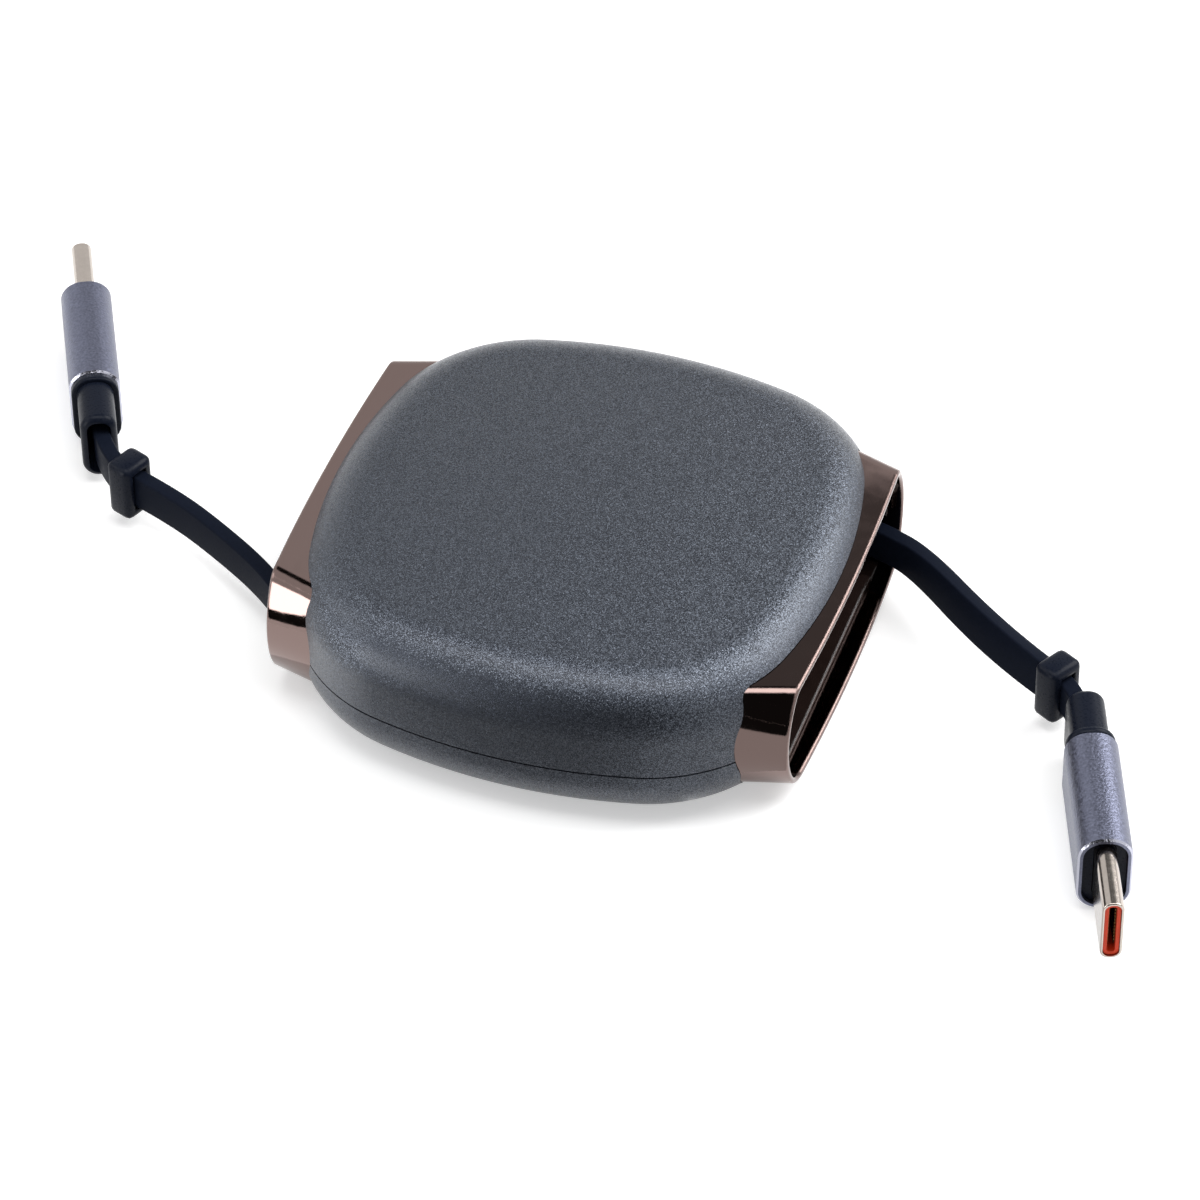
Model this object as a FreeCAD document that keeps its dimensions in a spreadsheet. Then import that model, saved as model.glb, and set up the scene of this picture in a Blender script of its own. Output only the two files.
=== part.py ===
import FreeCAD, Part
import math
import os
import Sketcher

# Retractable two-way charging cable: a pebble-shaped reel with a plated mouth at each end and a USB-C plug
# on each lead. Millimetres; +X runs from the left mouth to the right one, +Y is the back, +Z is up, and the
# origin is the middle of the underside.

Vector = FreeCAD.Vector
Z_AXIS = Vector(0, 0, 1)

# Driving sizes: alias, value in mm, what it is
SIZES = [
    ("half_span", 31.0, "housing, centre to the middle of each side"),
    ("side_radius", 65.0, "bow of the housing's sides in plan"),
    ("corner_radius", 19.0, "housing's corners in plan"),
    ("total_height", 19.6, "housing, underside to the top of the crown"),
    ("crown", 1.0, "rise of the top face from its sides to its middle"),
    ("top_roll", 6.4, "rounding of the top edge"),
    ("bottom_roll", 6.3, "rounding of the bottom edge"),
    ("parting_height", 7.7, "underside to the lower edge of the top cover"),
    ("parting_gap", 0.2, "reveal between the two covers"),
    ("wall", 1.6, "side wall of the top cover and floor of the bottom one"),
    ("roof", 1.8, "top wall of the top cover at its sides"),
    ("lip_width", 0.9, "tongue of the bottom cover, inside the top cover"),
    ("lip_height", 1.4, "tongue of the bottom cover, above its rim"),
    ("seat_gap", 0.1, "clearance between pieces that seat on each other"),
    ("mouth_proud", 0.3, "middle of each mouth's rim beyond the housing's side"),
    ("mouth_bow", 300.0, "bow of each mouth's rim in plan"),
    ("mouth_inset", 9.0, "half the housing's span less half a mouth's length, outside"),
    ("mouth_rise", 1.8, "underside to the bottom of the bezels"),
    ("mouth_drop", 3.2, "top of the housing to the top of the bezels"),
    ("mouth_end_bow", 10.0, "bow of the bezel's ends at its rim"),
    ("rear_end_bow", 18.0, "bow of the bezel's ends at its hidden rear edge"),
    ("mouth_corner", 2.2, "upper corners of the bezel's section"),
    ("lower_corner", 4.0, "lower corners of the bezel's section"),
    ("bezel_depth", 9.3, "bezel from its opening to its hidden rear edge"),
    ("bezel_flare", 2.0, "widening of each end of the bezel over its depth"),
    ("bezel_wall", 0.8, "wall of the bezel"),
    ("rim_round", 0.3, "rounding of the bezel's rim"),
    ("cradle_set_back", 2.4, "mouth plane to the front edge of the cradle"),
    ("cradle_depth", 8.0, "cradle, front edge to its back"),
    ("cradle_wall", 0.8, "side walls of the cradle"),
    ("cradle_floor", 1.2, "back wall of the cradle"),
    ("cradle_end_gap", 0.3, "cradle's ends to the bezel's flare"),
    ("slot_width", 8.6, "cable slot in the back of the cradle, open at the cradle's end"),
    ("slot_shift", 2.7, "inner edge of the cable slot, inside the line of the winding"),
    ("slot_margin", 0.25, "cable slot above and below the cable"),
    ("cable_width", 4.3, "flat cable, standing on edge"),
    ("cable_thickness", 1.9, "flat cable"),
    ("cable_edge_round", 0.55, "rounded edges of the flat cable"),
    ("winding_inset", 13.8, "housing's side to the centre line of the cable's outer turn"),
    ("channel_gap", 0.15, "cable to the spool's flanges"),
    ("hub_radius", 6.5, "spool's hub under the cable"),
    ("flange_overhang", 1.25, "spool's flanges beyond the winding"),
    ("flange_thickness", 0.8, "spool's lower flange"),
    ("drum_floor", 1.0, "spool's upper flange, which is the floor of the spring drum"),
    ("drum_inset", 1.0, "cable's outer turn to the outside of the spring drum"),
    ("drum_wall", 1.2, "wall of the spring drum"),
    ("cap_thickness", 1.6, "lid of the spring drum"),
    ("cap_clearance", 2.6, "lid of the spring drum to the ceiling"),
    ("spindle_radius", 2.0, "fixed spindle"),
    ("running_gap", 0.08, "spindle to the spool, radially"),
    ("spindle_sink", 0.6, "spindle let into each cover"),
    ("boss_wall", 2.1, "wall of the bosses round the spindle"),
    ("thrust_gap", 0.1, "spool to the bosses, axially"),
    ("spring_thickness", 0.35, "strip of the power spring"),
    ("spring_end_gap", 0.2, "outer end of the spring to the drum's wall"),
    ("spring_margin", 0.35, "spring to the drum's floor and lid"),
    ("ball_radius", 1.0, "ball of the ratchet lock"),
    ("ball_travel", 0.7, "radial travel of the ball each way"),
    ("ball_gap", 0.12, "ball to its groove and slot"),
    ("track_radius", 10.5, "middle of the ball's groove in the drum's lid"),
    ("track_depth", 0.9, "depth of that groove"),
    ("guide_wall", 1.2, "ball guide round its boss and its slot"),
    ("guide_corner", 2.0, "corners of the ball guide"),
    ("guide_clear", 0.4, "ball guide above the drum's lid"),
    ("stop_length", 3.4, "stop bead along the cable"),
    ("stop_thickness", 4.4, "stop bead across the cable"),
    ("stop_height", 7.5, "stop bead, standing"),
    ("stop_gap", 0.15, "stop bead to the cable"),
    ("stop_round", 0.8, "rounded edges of the stop bead"),
    ("sleeve_length", 16.9, "plug's aluminium sleeve"),
    ("sleeve_thickness", 6.0, "plug's sleeve"),
    ("sleeve_height", 10.4, "plug's sleeve, standing on edge on the table"),
    ("sleeve_corner", 2.7, "corners of the sleeve's section"),
    ("sleeve_wall", 0.55, "wall of the sleeve"),
    ("sleeve_chamfer", 0.22, "bright chamfers on the sleeve's rims"),
    ("core_recess", 0.7, "sleeve's front rim to the face of the core"),
    ("core_gap", 0.05, "moulded pieces to the sleeve and the shell"),
    ("core_length", 13.6, "plug's inner moulding"),
    ("shell_reach", 8.5, "shell beyond the sleeve's front rim"),
    ("shell_thickness", 2.4, "shell, outside"),
    ("shell_height", 8.25, "shell, outside"),
    ("shell_corner", 1.1, "ends of the shell's section"),
    ("shell_wall", 0.28, "drawn steel of the shell"),
    ("shell_nose", 0.17, "rounding of the shell's front edge"),
    ("shell_root", 3.0, "shell inside the core"),
    ("liner_inset", 0.25, "shell's front edge to the insulator"),
    ("liner_wall", 0.42, "insulator's wall, above and below the cavity"),
    ("liner_floor", 1.4, "insulator behind the cavity"),
    ("contact_pitch", 0.5, "spacing of the contacts"),
    ("contact_width", 0.26, "one contact"),
    ("contact_thickness", 0.16, "one contact"),
    ("contact_length", 3.6, "one contact"),
    ("contact_set_back", 1.0, "shell's front edge to the contacts"),
    ("board_thickness", 0.8, "circuit board in the plug"),
    ("board_height", 7.0, "circuit board in the plug"),
    ("board_length", 8.6, "circuit board in the plug"),
    ("board_gap", 0.2, "circuit board to the core"),
    ("collar_length", 1.1, "strain relief's collar behind the sleeve"),
    ("collar_step", 0.4, "sleeve's outside to the collar's"),
    ("tenon_length", 1.6, "strain relief inside the sleeve"),
    ("neck_length", 6.6, "strain relief's neck behind its collar"),
    ("neck_thickness", 4.3, "neck of the strain relief"),
    ("neck_height", 9.0, "neck of the strain relief"),
    ("neck_corner", 1.9, "corners of the neck's section"),
    ("neck_end_round", 0.9, "rounded end of the neck"),
    ("neck_mouth_depth", 3.4, "funnel in the end of the neck"),
    ("neck_mouth_wall", 0.75, "wall round the funnel's open end"),
    ("neck_gap", 0.1, "neck's bore to the cable"),
    ("cable_end_inset", 2.2, "end of the cable to the sleeve's rear rim"),
]
CONTACTS_PER_ROW = 12
SPRING_HALF_TURNS = 13

# Routes of the leads in plan: from the winding, out of the mouth, through the stop, to the neck
RIGHT_ROUTE = [(8.6, 17.8), (31.5, 19.3), (43.5, 8.85), (51.0, 3.65), (57.8, 0.0), (60.53, -7.2)]
LEFT_ROUTE = [(-8.6, -17.2), (-28.5, -17.2), (-34.5, -10.3), (-45.5, -3.4), (-52.0, -0.5), (-60.75, 2.6),
              (-64.7, 10.72)]
RIGHT_STOP_AT = 3.85
LEFT_STOP_AT = 5.15
ARC_SHARE = 0.45


class Dim:
    """A size worked out from the sheet: its expression, and its value for the first placing of geometry."""

    def __init__(self, text, value):
        self.text = text
        self.value = value

    def join(self, sign, other, value):
        text = other.text if isinstance(other, Dim) else repr(other)
        return Dim("(%s %s %s)" % (self.text, sign, text), value)

    def __add__(self, other):
        return self.join("+", other, self.value + number(other))

    def __sub__(self, other):
        return self.join("-", other, self.value - number(other))

    def __mul__(self, other):
        return self.join("*", other, self.value * number(other))

    def __truediv__(self, other):
        return self.join("/", other, self.value / number(other))


def number(item):
    return item.value if isinstance(item, Dim) else item


class Sheet:
    """The driving sizes as attributes, each one bound to its cell."""


def make_sheet(doc):
    table = doc.addObject("Spreadsheet::Sheet", "Sizes")
    sizes = Sheet()
    for row, (alias, value, note) in enumerate(SIZES, start=1):
        table.set("A%d" % row, alias)
        table.set("B%d" % row, str(value))
        table.set("C%d" % row, note)
        table.setAlias("B%d" % row, alias)
        setattr(sizes, alias, Dim("Sizes.%s" % alias, value))
    return sizes


# An inset of nothing, for an outline at its full size
FULL_SIZE = Dim("0", 0.0)

doc = FreeCAD.newDocument("retractable_cable")
S = make_sheet(doc)
doc.recompute()
SUB_PARTS = []


# Places that several pieces share
lead_height = S.sleeve_height / 2
roof_height = S.total_height - S.crown - S.roof
mouth_reach = S.half_span + S.mouth_proud
mouth_half_length = S.half_span - S.mouth_inset
mouth_half_height = (S.total_height - S.mouth_drop - S.mouth_rise) / 2
mouth_height = S.mouth_rise + mouth_half_height
winding_radius = S.half_span - S.winding_inset
winding_outside = winding_radius + S.cable_thickness / 2
flange_radius = winding_outside + S.flange_overhang
channel_floor = lead_height - S.cable_width / 2 - S.channel_gap
channel_top = lead_height + S.cable_width / 2 + S.channel_gap
spool_bottom = channel_floor - S.flange_thickness
drum_bottom = channel_top + S.drum_floor
cap_top = roof_height - S.cap_clearance
drum_top = cap_top - S.cap_thickness
drum_height = drum_top - drum_bottom
drum_radius = winding_radius - S.drum_inset
bore_radius = S.spindle_radius + S.running_gap
boss_radius = S.spindle_radius + S.boss_wall
bezel_rear = mouth_reach - S.bezel_depth
cradle_front = mouth_reach - S.cradle_set_back
cradle_back = cradle_front - S.cradle_depth
bottom_wall = S.wall + S.seat_gap + S.lip_width
guide_bottom = cap_top + S.guide_clear
ball_height = cap_top - S.track_depth + S.ball_gap + S.ball_radius
collar_rear = S.sleeve_length + S.collar_length
neck_rear = collar_rear + S.neck_length


# Sketching helpers
def new_body(label):
    body = doc.addObject("PartDesign::Body", label)
    body.Label = label
    SUB_PARTS.append(body)
    return body


def new_sketch(body, role, across=None, up=None, along=None):
    """A sketch on one of the body's origin planes, moved in that plane by across and up, off it by along."""
    sketch = body.newObject("Sketcher::SketchObject", body.Label + "_sketch")
    plane = [feature for feature in body.Origin.OriginFeatures if feature.Role == role][0]
    sketch.AttachmentSupport = (plane, [""])
    sketch.MapMode = "FlatFace"
    for letter, shift in (("x", across), ("y", up), ("z", along)):
        if shift is not None:
            sketch.setExpression("AttachmentOffset.Base." + letter, shift.text)
    return sketch


def drive(sketch, kind, first, dim):
    """Adds a dimensional constraint whose value comes from the sheet."""
    index = sketch.addConstraint(Sketcher.Constraint(kind, *first, dim.value))
    sketch.setExpression("Constraints[%d]" % index, dim.text)


def arc(centre_u, centre_v, radius, start, end):
    circle = Part.Circle(Vector(centre_u, centre_v, 0), Z_AXIS, radius)
    return Part.ArcOfCircle(circle, start, end)


def line(start, end):
    return Part.LineSegment(Vector(*start, 0), Vector(*end, 0))


def close_tangent(sketch, count):
    for edge in range(count):
        sketch.addConstraint(Sketcher.Constraint("Tangent", edge, 2, (edge + 1) % count, 1))


def pebble_outline(sketch, half_span, bow, corner):
    """Square outline with four bowed sides and round corners, all tangent."""
    offset = bow.value - half_span.value
    reach = bow.value - corner.value
    centre = (math.sqrt(2 * reach ** 2 - offset ** 2) - offset) / 2
    low = math.atan2(centre, centre + offset)
    high = math.pi / 2 - low
    for quarter in range(4):
        turn = quarter * math.pi / 2
        side = Vector(-offset * math.cos(turn), -offset * math.sin(turn), 0)
        spot = Vector(centre, centre, 0)
        spot = FreeCAD.Rotation(Z_AXIS, math.degrees(turn)).multVec(spot)
        sketch.addGeometry(arc(side.x, side.y, bow.value, turn - low, turn + low))
        sketch.addGeometry(arc(spot.x, spot.y, corner.value, turn + low, turn + high))
    close_tangent(sketch, 8)
    for side, axis in ((0, -1), (2, -2), (4, -1), (6, -2)):
        sketch.addConstraint(Sketcher.Constraint("PointOnObject", side, 3, axis))
    for edge in (2, 4, 6):
        sketch.addConstraint(Sketcher.Constraint("Equal", 0, edge))
        sketch.addConstraint(Sketcher.Constraint("Equal", 1, edge + 1))
    drive(sketch, "Radius", (0,), bow)
    drive(sketch, "Radius", (1,), corner)
    shift = bow - half_span
    drive(sketch, "DistanceX", (0, 3, -1, 1), shift)
    drive(sketch, "DistanceY", (2, 3, -1, 1), shift)
    drive(sketch, "DistanceX", (-1, 1, 4, 3), shift)
    drive(sketch, "DistanceY", (-1, 1, 6, 3), shift)


def mouth_outline(sketch, half_length, half_height, bow, upper, lower):
    """Long flat outline with bowed ends and round corners: the section of a mouth."""
    offset = bow.value - half_length.value
    up_v = half_height.value - upper.value
    up_u = math.sqrt((bow.value - upper.value) ** 2 - up_v ** 2) - offset
    up = math.atan2(up_v, up_u + offset)
    low_v = half_height.value - lower.value
    low_u = math.sqrt((bow.value - lower.value) ** 2 - low_v ** 2) - offset
    low = math.atan2(low_v, low_u + offset)
    quarter = math.pi / 2
    sketch.addGeometry(arc(-offset, 0, bow.value, -low, up))
    sketch.addGeometry(arc(up_u, up_v, upper.value, up, quarter))
    sketch.addGeometry(line((up_u, half_height.value), (-up_u, half_height.value)))
    sketch.addGeometry(arc(-up_u, up_v, upper.value, quarter, math.pi - up))
    sketch.addGeometry(arc(offset, 0, bow.value, math.pi - up, math.pi + low))
    sketch.addGeometry(arc(-low_u, -low_v, lower.value, math.pi + low, 3 * quarter))
    sketch.addGeometry(line((-low_u, -half_height.value), (low_u, -half_height.value)))
    sketch.addGeometry(arc(low_u, -low_v, lower.value, 3 * quarter, 2 * math.pi - low))
    close_tangent(sketch, 8)
    for end in (0, 4):
        sketch.addConstraint(Sketcher.Constraint("PointOnObject", end, 3, -1))
    for edge in (2, 6):
        sketch.addConstraint(Sketcher.Constraint("Horizontal", edge))
    for one, other in ((0, 4), (1, 3), (5, 7)):
        sketch.addConstraint(Sketcher.Constraint("Equal", one, other))
    drive(sketch, "Radius", (0,), bow)
    drive(sketch, "Radius", (1,), upper)
    drive(sketch, "Radius", (5,), lower)
    if offset < 0:
        drive(sketch, "DistanceX", (-1, 1, 0, 3), half_length - bow)
        drive(sketch, "DistanceX", (4, 3, -1, 1), half_length - bow)
    else:
        drive(sketch, "DistanceX", (0, 3, -1, 1), bow - half_length)
        drive(sketch, "DistanceX", (-1, 1, 4, 3), bow - half_length)
    drive(sketch, "DistanceY", (-1, 1, 2, 1), half_height)
    drive(sketch, "DistanceY", (6, 1, -1, 1), half_height)


def rounded_rectangle(sketch, half_u, half_v, corner):
    u, v, r = half_u.value, half_v.value, corner.value
    quarter = math.pi / 2
    sketch.addGeometry(line((u, r - v), (u, v - r)))
    sketch.addGeometry(arc(u - r, v - r, r, 0, quarter))
    sketch.addGeometry(line((u - r, v), (r - u, v)))
    sketch.addGeometry(arc(r - u, v - r, r, quarter, 2 * quarter))
    sketch.addGeometry(line((-u, v - r), (-u, r - v)))
    sketch.addGeometry(arc(r - u, r - v, r, 2 * quarter, 3 * quarter))
    sketch.addGeometry(line((r - u, -v), (u - r, -v)))
    sketch.addGeometry(arc(u - r, r - v, r, 3 * quarter, 4 * quarter))
    close_tangent(sketch, 8)
    for edge in (0, 4):
        sketch.addConstraint(Sketcher.Constraint("Vertical", edge))
    for edge in (2, 6):
        sketch.addConstraint(Sketcher.Constraint("Horizontal", edge))
    for edge in (3, 5, 7):
        sketch.addConstraint(Sketcher.Constraint("Equal", 1, edge))
    drive(sketch, "Radius", (1,), corner)
    drive(sketch, "DistanceX", (-1, 1, 0, 1), half_u)
    drive(sketch, "DistanceX", (4, 1, -1, 1), half_u)
    drive(sketch, "DistanceY", (-1, 1, 2, 1), half_v)
    drive(sketch, "DistanceY", (6, 1, -1, 1), half_v)


def rectangle(sketch, half_u, half_v):
    u, v = half_u.value, half_v.value
    corners = [(-u, -v), (u, -v), (u, v), (-u, v)]
    for index, corner in enumerate(corners):
        sketch.addGeometry(line(corner, corners[(index + 1) % 4]))
    for edge in range(4):
        sketch.addConstraint(Sketcher.Constraint("Coincident", edge, 2, (edge + 1) % 4, 1))
        sketch.addConstraint(Sketcher.Constraint("Horizontal" if edge % 2 == 0 else "Vertical", edge))
    drive(sketch, "DistanceX", (0, 1, -1, 1), half_u)
    drive(sketch, "DistanceY", (0, 1, -1, 1), half_v)
    drive(sketch, "DistanceX", (-1, 1, 2, 1), half_u)
    drive(sketch, "DistanceY", (-1, 1, 2, 1), half_v)


def circle(sketch, radius):
    sketch.addGeometry(Part.Circle(Vector(0, 0, 0), Z_AXIS, radius.value))
    sketch.addConstraint(Sketcher.Constraint("Coincident", 0, 3, -1, 1))
    drive(sketch, "Radius", (0,), radius)


def half_section(sketch, points):
    """Closed polygon of (radius, height) corners for a revolution about the sketch's upright axis."""
    count = len(points)
    for index, (radius, height) in enumerate(points):
        after = points[(index + 1) % count]
        sketch.addGeometry(line((radius.value, height.value), (after[0].value, after[1].value)))
    for index, (radius, height) in enumerate(points):
        sketch.addConstraint(Sketcher.Constraint("Coincident", index, 2, (index + 1) % count, 1))
        drive(sketch, "DistanceX", (-1, 1, index, 1), radius)
        drive(sketch, "DistanceY", (-1, 1, index, 1), height)


def pad(body, sketch, length, backwards=False):
    feature = body.newObject("PartDesign::Pad", body.Label + "_pad")
    feature.Profile = sketch
    feature.Reversed = backwards
    feature.setExpression("Length", length.text)
    doc.recompute()
    return feature


def pocket(body, sketch, depth, forwards=False):
    """Cuts against the sketch's normal, or along it when forwards, and makes sure that something went."""
    before = body.Shape.Volume
    feature = body.newObject("PartDesign::Pocket", body.Label + "_pocket")
    feature.Profile = sketch
    feature.Reversed = forwards
    feature.setExpression("Length", depth.text)
    doc.recompute()
    if body.Shape.Volume > before - 1e-6:
        raise RuntimeError("a pocket in %s cut nothing" % body.Label)
    return feature


def loft(body, kind, first, second):
    feature = body.newObject("PartDesign::" + kind, body.Label + "_loft")
    feature.Profile = first
    feature.Sections = [second]
    feature.Ruled = True
    doc.recompute()
    return feature


def revolve(body, sketch):
    feature = body.newObject("PartDesign::Revolution", body.Label + "_revolution")
    feature.Profile = sketch
    feature.ReferenceAxis = (sketch, ["V_Axis"])
    feature.Angle = 360
    doc.recompute()
    return feature


def edges_in(shape, axis, low, high):
    """Names of the edges that lie between two planes across an axis."""
    names = []
    for index, edge in enumerate(shape.Edges, start=1):
        box = edge.BoundBox
        if getattr(box, axis + "Min") > low and getattr(box, axis + "Max") < high:
            names.append("Edge%d" % index)
    return names


def round_edges(body, base, names, radius, kind="Fillet"):
    feature = body.newObject("PartDesign::" + kind, body.Label + "_edges")
    feature.Base = (base, names)
    feature.setExpression("Radius" if kind == "Fillet" else "Size", radius.text)
    doc.recompute()
    return feature


# Covers
NEAR = 0.01


def bezel_outlines(rear, front, inset):
    """Sections of a bezel at its hidden rear edge and at its rim, drawn inside or outside its face."""
    height = mouth_half_height - inset
    corners = (S.mouth_corner - inset, S.lower_corner - inset)
    mouth_outline(rear, mouth_half_length + S.bezel_flare - inset, height, S.rear_end_bow - inset, *corners)
    mouth_outline(front, mouth_half_length - inset, height, S.mouth_end_bow - inset, *corners)


def cut_mouths(body):
    """Openings of both mouths through a cover's wall, following the bezels' flare with a seating gap."""
    for side in (1, -1):
        rear = new_sketch(body, "YZ_Plane", up=mouth_height, along=bezel_rear * side)
        front = new_sketch(body, "YZ_Plane", up=mouth_height, along=mouth_reach * side)
        bezel_outlines(rear, front, FULL_SIZE - S.seat_gap)
        loft(body, "SubtractiveLoft", rear, front)


def crown_top(body):
    """Trims the flat top to a shallow dome."""
    sphere = (S.half_span * S.half_span + S.crown * S.crown) / (S.crown * 2)
    reach = S.half_span + S.corner_radius
    sketch = new_sketch(body, "XZ_Plane")
    radius, top, side = sphere.value, S.total_height.value, reach.value
    start = math.acos(side / radius)
    sketch.addGeometry(arc(0, top - radius, radius, start, math.pi / 2))
    low = (side, top - radius + radius * math.sin(start))
    corners = [(0, top), (0, top + S.roof.value), (side, top + S.roof.value), low]
    for index in range(3):
        sketch.addGeometry(line(corners[index], corners[index + 1]))
    for edge in range(4):
        sketch.addConstraint(Sketcher.Constraint("Coincident", edge, 2, (edge + 1) % 4, 1))
    sketch.addConstraint(Sketcher.Constraint("PointOnObject", 0, 3, -2))
    sketch.addConstraint(Sketcher.Constraint("PointOnObject", 0, 2, -2))
    for edge, kind in ((1, "Vertical"), (2, "Horizontal"), (3, "Vertical")):
        sketch.addConstraint(Sketcher.Constraint(kind, edge))
    drive(sketch, "Radius", (0,), sphere)
    drive(sketch, "DistanceY", (-1, 1, 0, 2), S.total_height)
    drive(sketch, "DistanceY", (1, 1, 1, 2), S.roof)
    drive(sketch, "DistanceX", (2, 1, 2, 2), reach)
    before = body.Shape.Volume
    groove = body.newObject("PartDesign::Groove", body.Label + "_crown")
    groove.Profile = sketch
    groove.ReferenceAxis = (sketch, ["V_Axis"])
    groove.Angle = 360
    doc.recompute()
    if body.Shape.Volume > before - 1e-6:
        raise RuntimeError("the crown cut nothing")
    return groove


def top_cavity():
    """Inside of the top cover, as the block that hollows it."""
    body = doc.addObject("PartDesign::Body", "top_cavity")
    plan = new_sketch(body, "XY_Plane", along=S.parting_height)
    pebble_outline(plan, S.half_span - S.wall, S.side_radius - S.wall, S.corner_radius - S.wall)
    block = pad(body, plan, roof_height - S.parting_height)
    ceiling = edges_in(body.Shape, "Z", roof_height.value - NEAR, roof_height.value + NEAR)
    round_edges(body, block, ceiling, S.top_roll - S.wall)
    return body


def top_cover():
    body = new_body("top_cover")
    outline = new_sketch(body, "XY_Plane", along=S.parting_height)
    pebble_outline(outline, S.half_span, S.side_radius, S.corner_radius)
    pad(body, outline, S.total_height - S.parting_height)
    dome = crown_top(body)
    top_edges = edges_in(body.Shape, "Z", S.parting_height.value + NEAR, S.total_height.value)
    round_edges(body, dome, top_edges, S.top_roll)
    hollow = body.newObject("PartDesign::Boolean", "top_cover_hollow")
    hollow.Type = "Cut"
    hollow.setObjects([top_cavity()])
    doc.recompute()
    boss = new_sketch(body, "XY_Plane", along=cap_top + S.thrust_gap)
    circle(boss, boss_radius)
    pad(body, boss, roof_height - cap_top - S.thrust_gap + S.roof / 2)
    bore = new_sketch(body, "XY_Plane", along=cap_top + S.thrust_gap)
    circle(bore, bore_radius)
    pocket(body, bore, roof_height - cap_top - S.thrust_gap + S.spindle_sink, forwards=True)
    cut_mouths(body)


def bottom_cover():
    body = new_body("bottom_cover")
    rim = S.parting_height - S.parting_gap
    outline = new_sketch(body, "XY_Plane")
    pebble_outline(outline, S.half_span, S.side_radius, S.corner_radius)
    block = pad(body, outline, rim)
    round_edges(body, block, edges_in(body.Shape, "Z", -NEAR, NEAR), S.bottom_roll)
    tongue = new_sketch(body, "XY_Plane", along=rim)
    inset = S.wall + S.seat_gap
    pebble_outline(tongue, S.half_span - inset, S.side_radius - inset, S.corner_radius - inset)
    pad(body, tongue, S.lip_height)
    cavity = new_sketch(body, "XY_Plane", along=S.wall)
    inset = bottom_wall
    pebble_outline(cavity, S.half_span - inset, S.side_radius - inset, S.corner_radius - inset)
    hollow = pocket(body, cavity, rim + S.lip_height, forwards=True)
    floor = edges_in(body.Shape, "Z", S.wall.value - NEAR, S.wall.value + NEAR)
    round_edges(body, hollow, floor, S.bottom_roll - S.wall)
    boss = new_sketch(body, "XY_Plane", along=S.wall / 2)
    circle(boss, boss_radius)
    pad(body, boss, spool_bottom - S.thrust_gap - S.wall / 2)
    bore = new_sketch(body, "XY_Plane", along=S.wall - S.spindle_sink)
    circle(bore, bore_radius)
    pocket(body, bore, spool_bottom, forwards=True)
    cut_mouths(body)


# Mouths
def bow_rim(body):
    """Trims the open end of a bezel to a shallow arc in plan."""
    sketch = new_sketch(body, "XY_Plane")
    side = mouth_half_length + S.bezel_flare
    outside = mouth_reach + S.bezel_wall
    bow, reach, half = S.mouth_bow.value, mouth_reach.value, side.value
    angle = math.asin(half / bow)
    end = reach - bow + bow * math.cos(angle)
    sketch.addGeometry(arc(reach - bow, 0, bow, -angle, angle))
    corners = [(end, half), (outside.value, half), (outside.value, -half), (end, -half)]
    for index in range(3):
        sketch.addGeometry(line(corners[index], corners[index + 1]))
    for first, at, second, there in ((0, 2, 1, 1), (1, 2, 2, 1), (2, 2, 3, 1), (3, 2, 0, 1)):
        sketch.addConstraint(Sketcher.Constraint("Coincident", first, at, second, there))
    sketch.addConstraint(Sketcher.Constraint("PointOnObject", 0, 3, -1))
    for edge, kind in ((1, "Horizontal"), (2, "Vertical"), (3, "Horizontal")):
        sketch.addConstraint(Sketcher.Constraint(kind, edge))
    drive(sketch, "Radius", (0,), S.mouth_bow)
    drive(sketch, "DistanceX", (0, 3, -1, 1), S.mouth_bow - mouth_reach)
    drive(sketch, "DistanceX", (-1, 1, 2, 1), outside)
    drive(sketch, "DistanceY", (-1, 1, 1, 1), side)
    drive(sketch, "DistanceY", (3, 1, -1, 1), side)
    return pocket(body, sketch, S.total_height, forwards=True)


def bezel(label, turn):
    """Plated mouth: a flared flat tube with a bowed, rounded rim, held by its flare between the covers."""
    body = new_body(label)
    for kind, inset in (("AdditiveLoft", FULL_SIZE), ("SubtractiveLoft", S.bezel_wall)):
        rear = new_sketch(body, "YZ_Plane", up=mouth_height, along=bezel_rear)
        front = new_sketch(body, "YZ_Plane", up=mouth_height, along=mouth_reach)
        bezel_outlines(rear, front, inset)
        loft(body, kind, rear, front)
    bowed = bow_rim(body)
    rim_back = mouth_reach.value - mouth_half_length.value ** 2 / (2 * S.mouth_bow.value) - S.rim_round.value
    rim = edges_in(body.Shape, "X", rim_back, mouth_reach.value + NEAR)
    round_edges(body, bowed, rim, S.rim_round)
    body.Placement = FreeCAD.Placement(Vector(0, 0, 0), FreeCAD.Rotation(Z_AXIS, turn))


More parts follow.
